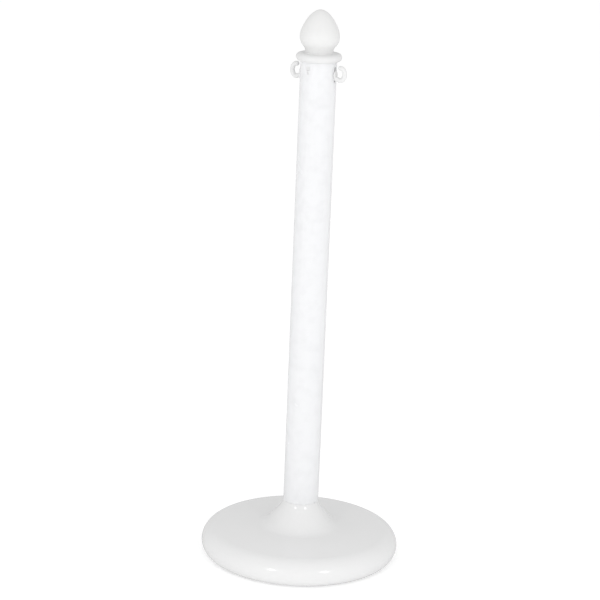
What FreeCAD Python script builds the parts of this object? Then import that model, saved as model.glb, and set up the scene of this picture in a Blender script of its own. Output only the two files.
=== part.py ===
import FreeCAD, Part
import math
import os

os.makedirs("parts", exist_ok=True)

# Free-standing post for a barrier chain: a sand-filled domed foot, a tube and a finial with two hooks.
# Origin: centre of the foot's ground ring. +Z is up. The two hooks lie on the X axis. Millimetres.

# ---- driving dimensions ----
overall_height = 992.0
base_radius = 177.8
pole_radius = 31.75
pole_wall = 3.0
shell_wall = 3.2
joint_height = 103.0

# foot outline, from the ground ring up to the neck; slopes in degrees below the horizontal
rim_radius = 23.0
shoulder_radius = 27.0
crown_outer_slope = 8.0
crown_inner_slope = 2.5
foot_fillet_radius = 28.0
cone_slope = 50.0
neck_fillet_radius = 30.0
neck_slope = 80.0
edge_break = 0.6

# underside
ring_inner_radius = 147.0
ledge_inner_radius = 134.0
cover_bottom = 3.0
cover_thickness = 3.0
gasket_thickness = 0.8
screw_circle_radius = 140.5
screw_count = 8
screw_radius = 1.8
plug_offset = 85.0
plug_hole_radius = 20.1
plug_barrel_radius = 20.0
sand_level = 54.0
loose_gap = 0.4

# coupler between foot and tube
coupler_radius = 28.68
socket_radius = 28.75
coupler_wall = 3.4
coupler_rise = 60.0
neck_grip = 12.0

# collar and finial
collar_bead_radius = 6.8
collar_radius = 39.9
collar_height = 910.8
bulb_radius = 34.6
finial_neck_radius = 24.1
finial_wall = 2.6

# hooks: an upright oval of round wire, open at the top towards the pole
hook_drop = 21.4
hook_wire_radius = 4.2
hook_half_width = 7.6
hook_half_height = 10.8
hook_end_radius = 5.8
hook_centre_radius = 42.1
hook_centre_rise = 1.95
hook_start_angle = 250.0
hook_end_angle = 95.0
hook_disc_radius = 7.0
hook_disc_thickness = 2.5
hook_stem_radius = 2.3
hook_bar_width = 4.6
slot_width = 5.0
slot_height = 26.4
seat_width = 19.0
seat_height = 31.0
seat_depth = 0.4

# snap catches of the collar, set round from the hooks
catch_angle = 81.0
catch_drop = 10.5
catch_width = 6.4
pip_drop = 18.1
pip_radius = 2.1
catch_gap = 0.2

# ---- worked out from the dimensions above ----
gasket_bottom = cover_bottom + cover_thickness
ledge_bottom = gasket_bottom + gasket_thickness
ledge_top = ledge_bottom + shell_wall
pole_inner_radius = pole_radius - pole_wall
collar_bottom = collar_height - collar_bead_radius
collar_top = collar_height + collar_bead_radius
bead_centre_radius = collar_radius - collar_bead_radius
hook_height = collar_bottom - hook_drop
seat_radius = pole_radius - seat_depth


def polar(centre, radius, degrees):
    """Point on a circle in the outline plane, as (radius, height)."""
    angle = math.radians(degrees)
    return (centre[0] + radius * math.cos(angle), centre[1] + radius * math.sin(angle))


def vec(point):
    return FreeCAD.Vector(point[0], 0, point[1])


def arc_edge(centre, radius, first, last):
    """Arc in the outline plane between two angles in degrees."""
    start = vec(polar(centre, radius, first))
    middle = vec(polar(centre, radius, (first + last) / 2))
    end = vec(polar(centre, radius, last))
    return Part.Arc(start, middle, end).toShape()


def line_edges(points):
    """Straight edges through a list of outline points."""
    edges = []
    for start, end in zip(points, points[1:]):
        edges.append(Part.LineSegment(vec(start), vec(end)).toShape())
    return edges


def turned(edges):
    """Solid of revolution about Z from the closed outline made by the edges."""
    face = Part.Face(Part.Wire(edges))
    return face.revolve(FreeCAD.Vector(0, 0, 0), FreeCAD.Vector(0, 0, 1), 360)


def cylinder(radius, bottom, top, x=0.0, y=0.0):
    return Part.makeCylinder(radius, top - bottom, FreeCAD.Vector(x, y, bottom))


def tube(outer, inner, bottom, top, x=0.0, y=0.0):
    return cylinder(outer, bottom, top, x, y).cut(cylinder(inner, bottom, top, x, y))


def block(x_range, y_range, z_range):
    corner = FreeCAD.Vector(x_range[0], y_range[0], z_range[0])
    size = (x_range[1] - x_range[0], y_range[1] - y_range[0], z_range[1] - z_range[0])
    return Part.makeBox(size[0], size[1], size[2], corner)


def rounded_bar(width, height, corner, first_x, last_x, centre_height):
    """Bar along X with a width along Y and a height along Z, its four long edges rounded."""
    half_w = width / 2
    half_h = height / 2
    body = block((first_x, last_x), (-half_w, half_w), (centre_height - half_h, centre_height + half_h))
    long_edges = []
    for edge in body.Edges:
        if abs(edge.BoundBox.XLength - (last_x - first_x)) < 1e-6:
            long_edges.append(edge)
    return body.makeFillet(corner, long_edges)


def turn_about_z(shape, degrees):
    copy = shape.copy()
    copy.rotate(FreeCAD.Vector(0, 0, 0), FreeCAD.Vector(0, 0, 1), degrees)
    return copy


def save(shape, node):
    shape.exportStep("parts/" + node + ".step")


# ---- foot ----
def normal(slope):
    """Outward normal of a surface that falls away at a slope, as (radius, height)."""
    angle = math.radians(slope)
    return (math.sin(angle), math.cos(angle))


def shifted(point, distance, slope):
    direction = normal(slope)
    return (point[0] + distance * direction[0], point[1] + distance * direction[1])


def foot_run(radius, steep, gentle):
    """Radius gained and height lost along an arc between two slopes."""
    high = normal(steep)
    low = normal(gentle)
    return (radius * (high[0] - low[0]), radius * (low[1] - high[1]))


class FootOutline:
    """Tangent outline of the foot at an inward offset: rim, shoulder, crown, fillet, cone and neck."""

    def __init__(self, offset):
        neck = (pole_radius, joint_height - edge_break)
        out_1, down_1 = foot_run(neck_fillet_radius, neck_slope, cone_slope)
        out_2, down_2 = foot_run(foot_fillet_radius, cone_slope, crown_inner_slope)
        out_3, down_3 = foot_run(1.0, crown_outer_slope, crown_inner_slope)
        out_4, down_4 = foot_run(shoulder_radius, 90, crown_outer_slope)
        # cone length and crown radius that close the outline at the rim
        along = math.cos(math.radians(cone_slope))
        fall = math.sin(math.radians(cone_slope))
        width = base_radius - neck[0] - out_1 - out_2 - out_4
        drop = neck[1] - rim_radius - down_1 - down_2 - down_4
        spread = along * down_3 - fall * out_3
        cone = (width * down_3 - drop * out_3) / spread
        crown = (along * drop - fall * width) / spread
        self.neck_centre = shifted(neck, neck_fillet_radius, neck_slope)
        cone_top = shifted(self.neck_centre, -neck_fillet_radius, cone_slope)
        cone_foot = (cone_top[0] + cone * along, cone_top[1] - cone * fall)
        self.fillet_centre = shifted(cone_foot, foot_fillet_radius, cone_slope)
        fillet_foot = shifted(self.fillet_centre, -foot_fillet_radius, crown_inner_slope)
        self.crown_centre = shifted(fillet_foot, -crown, crown_inner_slope)
        crown_edge = shifted(self.crown_centre, crown, crown_outer_slope)
        self.shoulder_centre = shifted(crown_edge, -shoulder_radius, crown_outer_slope)
        self.rim_centre = (base_radius - rim_radius, rim_radius)
        self.neck_radius = neck_fillet_radius + offset
        self.fillet_radius = foot_fillet_radius + offset
        self.crown_radius = crown - offset
        self.shoulder_radius = shoulder_radius - offset
        self.rim_radius = rim_radius - offset

    def dome_edges(self, last_angle):
        """Edges from the ground ring up to an angle on the neck fillet."""
        shoulder_top = 90 - crown_outer_slope
        crown_top = 90 - crown_inner_slope
        cone_top = shifted(self.neck_centre, -self.neck_radius, cone_slope)
        cone_foot = shifted(self.fillet_centre, -self.fillet_radius, cone_slope)
        edges = [arc_edge(self.rim_centre, self.rim_radius, -90, 0)]
        edges.append(arc_edge(self.shoulder_centre, self.shoulder_radius, 0, shoulder_top))
        edges.append(arc_edge(self.crown_centre, self.crown_radius, shoulder_top, crown_top))
        edges.append(arc_edge(self.fillet_centre, self.fillet_radius, 180 + crown_top, 270 - cone_slope))
        edges += line_edges([cone_foot, cone_top])
        edges.append(arc_edge(self.neck_centre, self.neck_radius, 270 - cone_slope, last_angle))
        return edges

    def neck_angle(self, height):
        """Angle on the neck fillet where it reaches a height."""
        drop = (self.neck_centre[1] - height) / self.neck_radius
        return 180 + math.degrees(math.asin(drop))


def foot_core(offset, floor):
    """Solid space inside the foot outline at an offset, from a floor height to below the neck."""
    outline = FootOutline(offset)
    last = outline.neck_angle(joint_height - neck_grip)
    top = polar(outline.neck_centre, outline.neck_radius, last)
    bottom = polar(outline.rim_centre, outline.rim_radius, -90)
    edges = outline.dome_edges(last)
    edges += line_edges([top, (0, top[1]), (0, bottom[1]), bottom])
    core = turned(edges)
    return core.cut(cylinder(base_radius, bottom[1] - 1, floor))


def screw_places():
    places = []
    for index in range(screw_count):
        angle = math.radians((index + 0.5) * 360 / screw_count)
        places.append((screw_circle_radius * math.cos(angle), screw_circle_radius * math.sin(angle)))
    return places


def base_shell():
    """Domed skin with a rolled-under rim, an inward ledge with screw bosses and the neck collar."""
    outer = FootOutline(0)
    inner = FootOutline(shell_wall)
    inner_last = inner.neck_angle(joint_height - neck_grip)
    collar_foot = polar(inner.neck_centre, inner.neck_radius, inner_last)
    rim_bottom = (base_radius - rim_radius, 0)
    rim_floor = (base_radius - rim_radius, shell_wall)
    wall_outer = ring_inner_radius + shell_wall
    edges = outer.dome_edges(270 - neck_slope)
    edges += line_edges([
        (pole_radius, joint_height - edge_break),
        (pole_radius - edge_break, joint_height),
        (socket_radius, joint_height),
        (socket_radius, collar_foot[1]),
        collar_foot,
    ])
    edges += inner.dome_edges(inner_last)
    edges += line_edges([
        rim_floor,
        (wall_outer, shell_wall),
        (wall_outer, ledge_top),
        (ledge_inner_radius, ledge_top),
        (ledge_inner_radius, ledge_bottom),
        (ring_inner_radius, ledge_bottom),
        (ring_inner_radius, 0),
        rim_bottom,
    ])
    shell = turned(Part.__sortEdges__(edges))
    for x, y in screw_places():
        shell = shell.fuse(cylinder(4.6, ledge_bottom, ledge_top + 10, x, y))
    for x, y in screw_places():
        shell = shell.cut(cylinder(screw_radius + 0.05, ledge_bottom - 1, ledge_top + 8, x, y))
    return shell


def base_cover():
    """Bottom disc with the socket tube for the coupler, a boss around the fill hole and two ring ribs."""
    top = cover_bottom + cover_thickness
    socket_top = joint_height - neck_grip - 0.3
    cover = cylinder(ring_inner_radius - loose_gap, cover_bottom, top)
    cover = cover.fuse(tube(socket_radius + 2.5, socket_radius, top - 0.5, socket_top))
    cover = cover.fuse(tube(24.0, plug_hole_radius, top - 0.5, top + 7, plug_offset))
    for radius in (50.0, 120.0):
        cover = cover.fuse(tube(radius + 1.25, radius - 1.25, 1.4, cover_bottom + 0.5))
    cover = cover.cut(cylinder(plug_hole_radius, 0, top + 1, plug_offset))
    for x, y in screw_places():
        cover = cover.cut(cylinder(2.2, 0, top + 1, x, y))
    return cover


def cover_gasket():
    """Flat ring between the ledge and the cover."""
    gasket = tube(ring_inner_radius - 0.8, ledge_inner_radius + 0.6, gasket_bottom, ledge_bottom)
    for x, y in screw_places():
        gasket = gasket.cut(cylinder(2.4, gasket_bottom - 1, ledge_bottom + 1, x, y))
    return gasket


def pan_screw():
    """Screw at the origin of the plane, with a domed head and a cross recess."""
    head_bottom = cover_bottom - 1.8
    crown = head_bottom - 0.4
    head = cylinder(3.8, head_bottom, cover_bottom)
    ball_radius = (3.8 ** 2 + 0.4 ** 2) / 0.8
    cap = Part.makeSphere(ball_radius, FreeCAD.Vector(0, 0, crown + ball_radius))
    head = head.fuse(cap.common(cylinder(3.8, crown - 1, head_bottom + 0.01)))
    shank = cylinder(screw_radius, cover_bottom - 0.01, ledge_top + 7)
    screw = head.fuse(shank)
    screw = screw.cut(block((-2.2, 2.2), (-0.45, 0.45), (crown - 1, head_bottom + 0.8)))
    return screw.cut(block((-0.45, 0.45), (-2.2, 2.2), (crown - 1, head_bottom + 0.8)))


def cover_screws():
    screws = []
    for x, y in screw_places():
        screw = pan_screw()
        screw.translate(FreeCAD.Vector(x, y, 0))
        screws.append(screw)
    return Part.makeCompound(screws)


def fill_plug():
    """Push-in bung: a head, a hollow barrel and a grip bar across the recess in the head."""
    head_bottom = 0.7
    head_top = 2.0
    barrel_top = cover_bottom + cover_thickness + 8
    plug = cylinder(23.6, head_bottom, head_top, plug_offset)
    plug = plug.fuse(cylinder(plug_barrel_radius, head_top - 0.1, barrel_top, plug_offset))
    plug = plug.cut(cylinder(plug_barrel_radius - 2.2, 0, barrel_top - 2.2, plug_offset))
    bar_x = (plug_offset - 2.0, plug_offset + 2.0)
    reach = plug_barrel_radius - 1.0
    grip = block(bar_x, (-reach, reach), (head_bottom + 0.3, barrel_top - 1.0))
    return plug.fuse(grip)


def plug_seal():
    """Flat sealing ring under the plug's head."""
    return tube(23.2, plug_barrel_radius + 0.1, 2.0, cover_bottom, plug_offset)


def sand_ballast():
    """Sand filling the foot around the socket, levelled below the neck."""
    floor = gasket_bottom + loose_gap
    sand = foot_core(shell_wall + loose_gap, floor)
    sand = sand.cut(cylinder(base_radius, sand_level, joint_height))
    sand = sand.cut(cylinder(socket_radius + 2.5 + loose_gap, 0, joint_height))
    sand = sand.cut(tube(base_radius, ledge_inner_radius - loose_gap, 0, ledge_top + loose_gap))
    sand = sand.cut(cylinder(24.0 + loose_gap, 0, gasket_bottom + 9, plug_offset))
    for x, y in screw_places():
        sand = sand.cut(cylinder(4.6 + loose_gap, 0, ledge_top + 10 + loose_gap, x, y))
    return sand


def pole_coupler():
    """Thick tube standing in the socket and reaching up into the pole, with a lead-in at both ends."""
    bottom = cover_bottom + cover_thickness
    top = joint_height + coupler_rise
    lead = 2.5
    bore = coupler_radius - coupler_wall
    return turned(line_edges([
        (bore, bottom),
        (coupler_radius - 1, bottom),
        (coupler_radius, bottom + lead),
        (coupler_radius, top - lead),
        (coupler_radius - 1, top),
        (bore, top),
        (bore, bottom),
    ]))


# ---- post ----
def windows():
    """Cutters for the snap windows and the round holes under them, on two opposite sides."""
    cutters = []
    width = catch_width + 2 * catch_gap
    hole_start = FreeCAD.Vector(20, 0, collar_bottom - pip_drop)
    for degrees in (catch_angle, catch_angle + 180):
        catch = rounded_bar(width, width, 0.8, 20, 40, collar_bottom - catch_drop)
        hole = Part.makeCylinder(pip_radius + catch_gap, 20, hole_start, FreeCAD.Vector(1, 0, 0))
        cutters.append(turn_about_z(catch, degrees))
        cutters.append(turn_about_z(hole, degrees))
    return cutters


def pole():
    """Tube with a shallow seat and an upright slot for each hook, and the snap windows."""
    bore = pole_inner_radius
    tube_wall = turned(line_edges([
        (bore, joint_height),
        (pole_radius - edge_break, joint_height),
        (pole_radius, joint_height + edge_break),
        (pole_radius, collar_bottom),
        (bore, collar_bottom),
        (bore, joint_height),
    ]))
    seat_ring = tube(pole_radius + 5, seat_radius, hook_height - seat_height, hook_height + seat_height)
    for degrees in (0, 180):
        seat = rounded_bar(seat_width, seat_height, 1.5, 15, pole_radius + 5, hook_height).common(seat_ring)
        slot = rounded_bar(slot_width, slot_height, 1.2, 15, pole_radius + 5, hook_height)
        tube_wall = tube_wall.cut(turn_about_z(seat, degrees))
        tube_wall = tube_wall.cut(turn_about_z(slot, degrees))
    for cutter in windows():
        tube_wall = tube_wall.cut(cutter)
    return tube_wall


def collar_cap():
    """Beaded collar with a barrel inside the pole, two snap tongues and a stub for the finial."""
    barrel_radius = pole_inner_radius - 0.2
    barrel_inner = barrel_radius - 3.0
    barrel_bottom = collar_bottom - 12.5
    web_bottom = collar_top - 3.0
    stub_radius = finial_neck_radius - finial_wall - 0.1
    stub_top = collar_top + 9
    bead = (bead_centre_radius, collar_height)
    edges = [arc_edge(bead, collar_bead_radius, -90, 90)]
    edges += line_edges([
        (bead_centre_radius, collar_top),
        (stub_radius, collar_top),
        (stub_radius, stub_top),
        (stub_radius - 3, stub_top),
        (stub_radius - 3, collar_top),
        (0, collar_top),
        (0, web_bottom),
        (barrel_inner, web_bottom),
        (barrel_inner, barrel_bottom),
        (barrel_radius, barrel_bottom),
        (barrel_radius, collar_bottom),
        (bead_centre_radius, collar_bottom),
    ])
    cap = turned(edges)
    ring = tube(barrel_radius, barrel_inner, collar_bottom - 25.5, barrel_bottom + 0.5)
    for degrees in (catch_angle, catch_angle + 180):
        strip = block((0, 40), (-6.5, 6.5), (collar_bottom - 25.5, barrel_bottom + 0.5))
        cap = cap.fuse(turn_about_z(ring.common(strip), degrees))
        for edge in (-7.5, 6.5):
            slit = block((20, 30), (edge, edge + 1.0), (barrel_bottom - 1, collar_bottom - 3))
            cap = cap.cut(turn_about_z(slit, degrees))
    for degrees in (0, 180):
        notch = block((15, 30), (-15, 15), (barrel_bottom - 1, collar_bottom - 4))
        cap = cap.cut(turn_about_z(notch, degrees))
    first = barrel_radius - 1
    last = pole_radius - 0.9
    pip_start = FreeCAD.Vector(first, 0, collar_bottom - pip_drop)
    for degrees in (catch_angle, catch_angle + 180):
        catch = rounded_bar(catch_width, catch_width, 0.7, first, last, collar_bottom - catch_drop)
        pip = Part.makeCylinder(pip_radius, last - first, pip_start, FreeCAD.Vector(1, 0, 0))
        cap = cap.fuse(turn_about_z(catch, degrees))
        cap = cap.fuse(turn_about_z(pip, degrees))
    return cap


def finial_arcs(offset):
    """Edges of the finial from its tip down to its neck, moved inward by an offset."""
    # convex arcs, each as (radius, first angle, last angle), angles from the horizontal;
    # the tip's radius sets the height only, since its arc is drawn to meet the crown on the axis
    tip = (17.0, 60, 90)
    crown = (40.0, 38, 60)
    flank = (82.0, 20, 38)
    waist = (36.0, 0, 20)
    belly = (22.0, -44, 0)
    rise = 0.0
    for radius, first, last in (waist, flank, crown, tip):
        rise += radius * (math.sin(math.radians(last)) - math.sin(math.radians(first)))
    start = (bulb_radius, overall_height - rise)
    edges = []
    low_centre = (start[0] - belly[0], start[1])
    edges.append(arc_edge(low_centre, belly[0] - offset, belly[1], 0))
    point = start
    for radius, first, last in (waist, flank, crown):
        centre = polar(point, -radius, first)
        edges.append(arc_edge(centre, radius - offset, first, last))
        point = polar(centre, radius, last)
    tip_radius = point[0] / math.cos(math.radians(tip[1]))
    tip_centre = (0, point[1] - tip_radius * math.sin(math.radians(tip[1])))
    edges.append(arc_edge(tip_centre, tip_radius - offset, tip[1], 90))
    top = (0, tip_centre[1] + tip_radius - offset)
    # throat: hollow arc that takes the belly's lower end down to the upright neck
    belly_end = polar(low_centre, belly[0], belly[1])
    throat_radius = (belly_end[0] - finial_neck_radius) / (1 - math.cos(math.radians(belly[1])))
    throat_height = polar(low_centre, belly[0] + throat_radius, belly[1])[1]
    throat_centre = (finial_neck_radius + throat_radius, throat_height)
    edges.append(arc_edge(throat_centre, throat_radius + offset, 180 + belly[1], 180))
    neck_top = (finial_neck_radius - offset, throat_centre[1])
    return edges, top, neck_top


def finial():
    """Hollow acorn with a short neck that flares where it stands on the collar."""
    outer, outer_top, outer_neck = finial_arcs(0)
    inner, inner_top, inner_neck = finial_arcs(finial_wall)
    flare = 1.2
    edges = outer + inner
    edges.append(arc_edge((finial_neck_radius + flare, collar_top + flare), flare, 180, 270))
    edges += line_edges([outer_neck, (finial_neck_radius, collar_top + flare)])
    edges += line_edges([(finial_neck_radius + flare, collar_top), (inner_neck[0], collar_top), inner_neck])
    edges += line_edges([inner_top, outer_top])
    return turned(Part.__sortEdges__(edges))


def bend(centre, radius, first, last):
    """Round wire bent about a centre in the X-Z plane, between two angles in degrees."""
    start = vec(polar(centre, radius, first))
    forward = vec(polar((0, 0), 1, first + 90))
    section = Part.Face(Part.Wire(Part.Circle(start, forward, hook_wire_radius).toShape()))
    return section.revolve(vec(centre), FreeCAD.Vector(0, -1, 0), last - first)


def oval_wire(centre):
    """Open upright oval: a tight bend at each end, joined by one wide bend on the outer side."""
    end_offset = hook_half_height - hook_end_radius
    width, height, tight = hook_half_width, hook_half_height, hook_end_radius
    side_radius = (width ** 2 + end_offset ** 2 - tight ** 2) / (2 * (width - tight))
    side_centre = (centre[0] + width - side_radius, centre[1])
    turn = math.degrees(math.atan2(end_offset, side_radius - width))
    low_centre = (centre[0], centre[1] - height + tight)
    high_centre = (centre[0], centre[1] + height - tight)
    low = bend(low_centre, tight, hook_start_angle, 360 - turn)
    side = bend(side_centre, side_radius, -turn, turn)
    high = bend(high_centre, tight, turn, hook_end_angle)
    tip = Part.makeSphere(hook_wire_radius, vec(polar(high_centre, tight, hook_end_angle)))
    start = vec(polar(low_centre, tight, hook_start_angle))
    return low.fuse([side, high, tip]), start


def hook():
    """Hook on the +X side: a cross bar behind the slot, a round stem, a disc and an open oval of wire."""
    gap = 0.25
    disc_back = seat_radius + gap
    bar_front = 25.4
    bar_back = 20.4
    bar_half = 12.6
    along_x = FreeCAD.Vector(1, 0, 0)
    stem_start = FreeCAD.Vector(bar_back, 0, hook_height)
    disc_start = FreeCAD.Vector(disc_back, 0, hook_height)
    stem = Part.makeCylinder(hook_stem_radius, disc_back - bar_back, stem_start, along_x)
    disc = Part.makeCylinder(hook_disc_radius, hook_disc_thickness, disc_start, along_x)
    disc_front = disc_back + hook_disc_thickness
    front_edges = [edge for edge in disc.Edges if abs(edge.BoundBox.XMin - disc_front) < 1e-6]
    disc = disc.makeFillet(1.0, front_edges)
    end_radius = hook_bar_width / 2
    straight = bar_half - end_radius
    bar_height = (hook_height - end_radius, hook_height + end_radius)
    bar = block((bar_back, bar_front), (-straight, straight), bar_height)
    for side in (1, -1):
        end_point = FreeCAD.Vector(bar_back, side * straight, hook_height)
        bar = bar.fuse(Part.makeCylinder(end_radius, bar_front - bar_back, end_point, along_x))
    wire, start = oval_wire((hook_centre_radius, hook_height + hook_centre_rise))
    forward = vec(polar((0, 0), 1, hook_start_angle + 90))
    tail_length = 11.0
    tail = Part.makeCylinder(hook_wire_radius, tail_length, start - forward * tail_length, forward)
    tail = tail.common(block((disc_back, 80), (-20, 20), (hook_height - 30, hook_height + 30)))
    body = stem.fuse([disc, bar, tail, wire])
    return body.removeSplitter()


right_hook = hook()
save(base_shell(), "base_shell")
save(base_cover(), "base_cover")
save(cover_gasket(), "cover_gasket")
save(cover_screws(), "cover_screws")
save(fill_plug(), "fill_plug")
save(plug_seal(), "plug_seal")
save(sand_ballast(), "sand_ballast")
save(pole_coupler(), "pole_coupler")
save(pole(), "pole")
save(collar_cap(), "collar_cap")
save(finial(), "finial")
save(right_hook, "hook_right")
save(turn_about_z(right_hook, 180), "hook_left")
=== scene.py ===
import math

import bpy
from mathutils import Matrix, Vector


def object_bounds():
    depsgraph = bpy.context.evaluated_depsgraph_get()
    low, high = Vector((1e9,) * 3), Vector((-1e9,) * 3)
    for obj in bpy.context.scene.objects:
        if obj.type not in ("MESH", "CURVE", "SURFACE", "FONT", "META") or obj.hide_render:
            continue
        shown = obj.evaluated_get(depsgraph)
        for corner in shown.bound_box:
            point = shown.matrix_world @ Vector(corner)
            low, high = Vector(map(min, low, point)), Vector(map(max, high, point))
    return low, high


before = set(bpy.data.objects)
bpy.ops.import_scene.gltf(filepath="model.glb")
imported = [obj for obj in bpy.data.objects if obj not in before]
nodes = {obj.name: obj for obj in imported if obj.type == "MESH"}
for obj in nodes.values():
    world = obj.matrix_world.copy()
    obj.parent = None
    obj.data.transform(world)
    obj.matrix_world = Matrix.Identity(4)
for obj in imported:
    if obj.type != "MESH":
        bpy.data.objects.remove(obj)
scene = bpy.context.scene
lo_start, hi_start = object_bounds()


# ---- shader helpers ----
class Mat:
    """A node material built round one Principled shader."""

    def __init__(self, name):
        self.mat = bpy.data.materials.new(name)
        self.mat.use_nodes = True
        self.tree = self.mat.node_tree
        self.bsdf = self.tree.nodes["Principled BSDF"]
        self.coord = self.add("ShaderNodeTexCoord")

    def add(self, kind, **values):
        node = self.tree.nodes.new(kind)
        for key, value in values.items():
            setattr(node, key, value)
        return node

    def link(self, a, b):
        self.tree.links.new(a, b)

    def noise(self, scale, detail):
        node = self.add("ShaderNodeTexNoise")
        node.inputs["Scale"].default_value = scale
        node.inputs["Detail"].default_value = detail
        self.link(self.coord.outputs["Object"], node.inputs["Vector"])
        return node.outputs["Fac"]

    def ramp(self, fac, stops):
        node = self.add("ShaderNodeValToRGB")
        ramp = node.color_ramp
        while len(ramp.elements) < len(stops):
            ramp.elements.new(0.5)
        for element, (pos, colour) in zip(ramp.elements, stops):
            element.position = pos
            element.color = (*colour, 1)
        self.link(fac, node.inputs["Fac"])
        return node.outputs["Color"]

    def grey(self, fac, low, high, start=0.3, end=0.7):
        return self.ramp(fac, [(start, (low, low, low)), (end, (high, high, high))])

    def mix(self, fac, first, second):
        node = self.add("ShaderNodeMix", data_type="RGBA")
        self.link(fac, node.inputs[0])
        self.link(first, node.inputs[6])
        self.link(second, node.inputs[7])
        return node.outputs[2]

    def edge_mask(self):
        """White on sharp outer edges, black elsewhere."""
        geometry = self.add("ShaderNodeNewGeometry")
        return self.grey(geometry.outputs["Pointiness"], 0.0, 1.0, start=0.50, end=0.62)

    def bumps(self, heights):
        """Chain of bump nodes from (height, strength, distance)."""
        last = None
        for height, strength, distance in heights:
            bump = self.add("ShaderNodeBump")
            bump.inputs["Strength"].default_value = strength
            bump.inputs["Distance"].default_value = distance
            self.link(height, bump.inputs["Height"])
            if last:
                self.link(last, bump.inputs["Normal"])
            last = bump.outputs["Normal"]
        self.link(last, self.bsdf.inputs["Normal"])


def plastic(name, white, rough, tint=(1.0, 1.0, 1.0), wave=0.25, grain=900.0, milky=0.0):
    """Moulded white plastic: mottling, patchy gloss, fine grain, slow waviness and scuffed edges.

    milky is how much light the wall lets through.
    """
    m = Mat(name)
    b = m.bsdf.inputs
    low = tuple((white - 0.004) * v for v in tint)
    high = tuple((white + 0.004) * v for v in tint)
    scuffed = tuple(0.95 * v for v in low)
    colour = m.ramp(m.noise(7.0, 2.0), [(0.3, low), (0.7, high)])
    wear = m.ramp(m.noise(60.0, 6.0), [(0.45, low), (0.75, scuffed)])
    m.link(m.mix(m.edge_mask(), colour, wear), b["Base Color"])
    m.link(m.grey(m.noise(22.0, 3.0), rough * 0.95, rough * 1.1), b["Roughness"])
    b["IOR"].default_value = 1.5
    b["Subsurface Weight"].default_value = milky
    b["Subsurface Radius"].default_value = (1.0, 1.0, 1.0)
    b["Subsurface Scale"].default_value = 0.004
    m.bumps([
        (m.noise(6.0, 1.5), wave, 0.0004),
        (m.noise(grain, 3.0), 0.06, 0.0001),
    ])
    return m.mat


def rubber(name):
    """Black seal rubber, dull and finely pitted."""
    m = Mat(name)
    b = m.bsdf.inputs
    m.link(m.grey(m.noise(40.0, 5.0), 0.03, 0.06), b["Base Color"])
    m.link(m.grey(m.noise(90.0, 4.0), 0.55, 0.8), b["Roughness"])
    m.bumps([(m.noise(1500.0, 2.0), 0.3, 0.0002)])
    return m.mat


def steel(name):
    """Plated steel with patchy gloss."""
    m = Mat(name)
    b = m.bsdf.inputs
    b["Metallic"].default_value = 1.0
    colour = m.ramp(m.noise(300.0, 5.0), [(0.3, (0.55, 0.56, 0.58)), (0.7, (0.72, 0.72, 0.70))])
    m.link(colour, b["Base Color"])
    m.link(m.grey(m.noise(500.0, 4.0), 0.22, 0.42), b["Roughness"])
    m.bumps([(m.noise(2500.0, 2.0), 0.2, 0.0001)])
    return m.mat


def sand(name):
    """Dry sand: mixed grain colours and a coarse surface."""
    m = Mat(name)
    b = m.bsdf.inputs
    colour = m.ramp(m.noise(900.0, 4.0), [(0.35, (0.36, 0.27, 0.17)), (0.65, (0.68, 0.56, 0.40))])
    m.link(colour, b["Base Color"])
    m.link(m.grey(m.noise(300.0, 4.0), 0.8, 0.95), b["Roughness"])
    m.bumps([(m.noise(700.0, 6.0), 0.9, 0.001)])
    return m.mat


# ---- a material for each node (the slot names in the table are not used) ----
NEUTRAL = (1.0, 1.0, 1.0)
COOL = (0.99, 0.995, 1.01)
WARM = (1.0, 1.0, 0.995)
look = {
    # The foot is the same white plastic as the pole. Its white is set lower (0.785 against the pole's
    # 0.85) as painted shade for the dimmer light on its upward-facing dome.
    "base_shell": (plastic("foot_plastic_painted_shade", 0.785, 0.15, NEUTRAL), "base_plastic"),
    "base_cover": (plastic("cover_plastic", 0.72, 0.40, grain=600.0), "cover_plastic"),
    "cover_gasket": (rubber("gasket_rubber"), "seal_rubber"),
    "cover_screws": (steel("screw_steel"), "screw_steel"),
    "fill_plug": (plastic("plug_plastic", 0.66, 0.35), "plug_plastic"),
    "plug_seal": (rubber("seal_rubber"), "seal_rubber"),
    "sand_ballast": (sand("dry_sand"), "sand"),
    "pole_coupler": (plastic("coupler_plastic", 0.66, 0.35), "coupler_plastic"),
    "pole": (plastic("pole_plastic", 0.85, 0.25, COOL, wave=0.04, milky=0.5), "pole_plastic"),
    "collar_cap": (plastic("cap_plastic", 0.77, 0.35, NEUTRAL), "cap_plastic"),
    "finial": (plastic("finial_plastic", 0.785, 0.45, WARM), "finial_plastic"),
    "hook_right": (plastic("hook_plastic", 0.78, 0.35), "hook_plastic"),
    "hook_left": (plastic("hook_plastic_left", 0.78, 0.35), "hook_plastic"),
}
for node, (material, slot) in look.items():
    obj = nodes[node]
    obj.data.materials.clear()
    obj.data.materials.append(material)

# ---- floor, camera and light ----
FLOOR_GLOW = 0.24
FLOOR_HALF_SIZE = 60.0
ground = lo_start.z


def floor_sheet():
    """Pale floor out to the horizon, lit a little from below like a light table."""
    size = FLOOR_HALF_SIZE
    corners = [(-size, -size, 0), (size, -size, 0), (size, size, 0), (-size, size, 0)]
    mesh = bpy.data.meshes.new("floor")
    mesh.from_pydata(corners, [], [(0, 1, 2, 3)])
    floor = bpy.data.objects.new("floor", mesh)
    scene.collection.objects.link(floor)
    floor.location.z = ground
    floor.visible_glossy = False
    m = Mat("floor_paper")
    b = m.bsdf.inputs
    m.link(m.grey(m.noise(1.5, 4.0), 0.89, 0.91), b["Base Color"])
    b["Roughness"].default_value = 0.9
    b["Specular IOR Level"].default_value = 0.0
    b["Emission Color"].default_value = (1, 1, 1, 1)
    b["Emission Strength"].default_value = FLOOR_GLOW
    m.bumps([(m.noise(300.0, 3.0), 0.05, 0.0005)])
    mesh.materials.append(m.mat)


floor_sheet()

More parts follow.
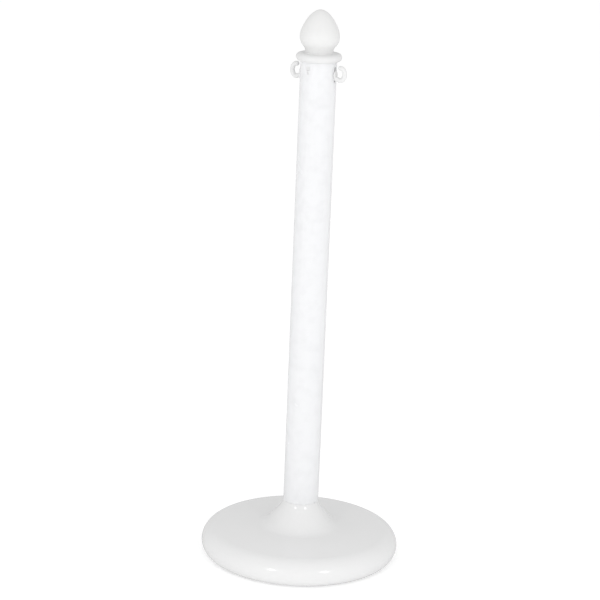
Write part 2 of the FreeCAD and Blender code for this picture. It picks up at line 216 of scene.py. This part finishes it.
CAMERA_AZIMUTH = 25.0
CAMERA_DISTANCE = 3.556
CAMERA_HEIGHT = 1.458
CAMERA_PITCH = 15.42
CAMERA_YAW = -0.255
CAMERA_ROLL = 2.30
LENS_MM = 125.07


def camera_axes(azimuth, pitch, yaw, roll):
    """Camera axes (right, up, back) for a camera out along -Y turned round by the azimuth."""
    p, y, r = map(math.radians, (pitch, yaw, roll))
    ahead = Vector((math.sin(y) * math.cos(p), math.cos(y) * math.cos(p), -math.sin(p)))
    right = Vector((math.cos(y), -math.sin(y), 0))
    up = right.cross(ahead)
    right_r = right * math.cos(r) + up * math.sin(r)
    up_r = -right * math.sin(r) + up * math.cos(r)
    turn = Matrix.Rotation(math.radians(azimuth), 3, "Z")
    return turn @ Matrix((right_r, up_r, -ahead)).transposed()


camera = bpy.data.cameras.new("camera")
camera.sensor_width = 36
camera.lens = LENS_MM
camera.clip_end = 200
camera.dof.use_dof = False
camera_obj = bpy.data.objects.new("camera", camera)
scene.collection.objects.link(camera_obj)
turn = Matrix.Rotation(math.radians(CAMERA_AZIMUTH), 3, "Z")
place = turn @ Vector((0, -CAMERA_DISTANCE, ground + CAMERA_HEIGHT))
axes = camera_axes(CAMERA_AZIMUTH, CAMERA_PITCH, CAMERA_YAW, CAMERA_ROLL)
camera_obj.matrix_world = Matrix.Translation(place) @ axes.to_4x4()
scene.camera = camera_obj


LAMP_DISTANCE = 3.4
LAMP_SIZE = 0.28
LAMP_POWER = 12
LAMP_AIM_HEIGHT = 0.3


def lamp(name, azimuth, lamp_height):
    """Small square lamp, set round from the camera's azimuth and aimed low on the post."""
    light = bpy.data.lights.new(name, "AREA")
    light.shape = "RECTANGLE"
    light.size = LAMP_SIZE
    light.size_y = LAMP_SIZE
    light.energy = LAMP_POWER
    obj = bpy.data.objects.new(name, light)
    scene.collection.objects.link(obj)
    a = math.radians(CAMERA_AZIMUTH + azimuth)
    obj.location = Vector((math.sin(a) * LAMP_DISTANCE, -math.cos(a) * LAMP_DISTANCE, lamp_height))
    aim = Vector((0, 0, LAMP_AIM_HEIGHT)) - obj.location
    obj.rotation_euler = aim.to_track_quat("-Z", "Y").to_euler()


lamp("lamp_left", -30, 1.18)
lamp("lamp_right", 31, 1.15)


def studio_sky(nadir, horizon, zenith, behind, front):
    """Surround that is brightest at the horizon on the camera's side and dims up, down and behind."""
    world = bpy.data.worlds.new("studio")
    scene.world = world
    world.use_nodes = True
    tree = world.node_tree
    coords = tree.nodes.new("ShaderNodeTexCoord")

    def grey_ramp(direction, levels):
        """Grey levels along a direction, from its far side to its near side."""
        along = tree.nodes.new("ShaderNodeVectorMath")
        along.operation = "DOT_PRODUCT"
        along.inputs[1].default_value = tuple(0.5 * v for v in direction)
        tree.links.new(coords.outputs["Generated"], along.inputs[0])
        shift = tree.nodes.new("ShaderNodeMath")
        shift.inputs[1].default_value = 0.5
        tree.links.new(along.outputs["Value"], shift.inputs[0])
        node = tree.nodes.new("ShaderNodeValToRGB")
        stops = node.color_ramp.elements
        while len(stops) < len(levels):
            stops.new(0.5)
        for index, level in enumerate(levels):
            stops[index].position = index / (len(levels) - 1)
            stops[index].color = (level, level, level, 1)
        tree.links.new(shift.outputs["Value"], node.inputs["Fac"])
        return node.outputs["Color"]

    a = math.radians(CAMERA_AZIMUTH)
    rise = grey_ramp((0, 0, 1), (nadir, horizon, zenith))
    depth = grey_ramp((math.sin(a), -math.cos(a), 0), (behind, (behind + front) / 2, front))
    product = tree.nodes.new("ShaderNodeMix")
    product.data_type = "RGBA"
    product.blend_type = "MULTIPLY"
    product.inputs[0].default_value = 1.0
    tree.links.new(rise, product.inputs[6])
    tree.links.new(depth, product.inputs[7])
    tree.links.new(product.outputs[2], tree.nodes["Background"].inputs["Color"])


studio_sky(nadir=0.45, horizon=0.88, zenith=0.98, behind=0.80, front=1.04)
scene.view_settings.view_transform = "Standard"
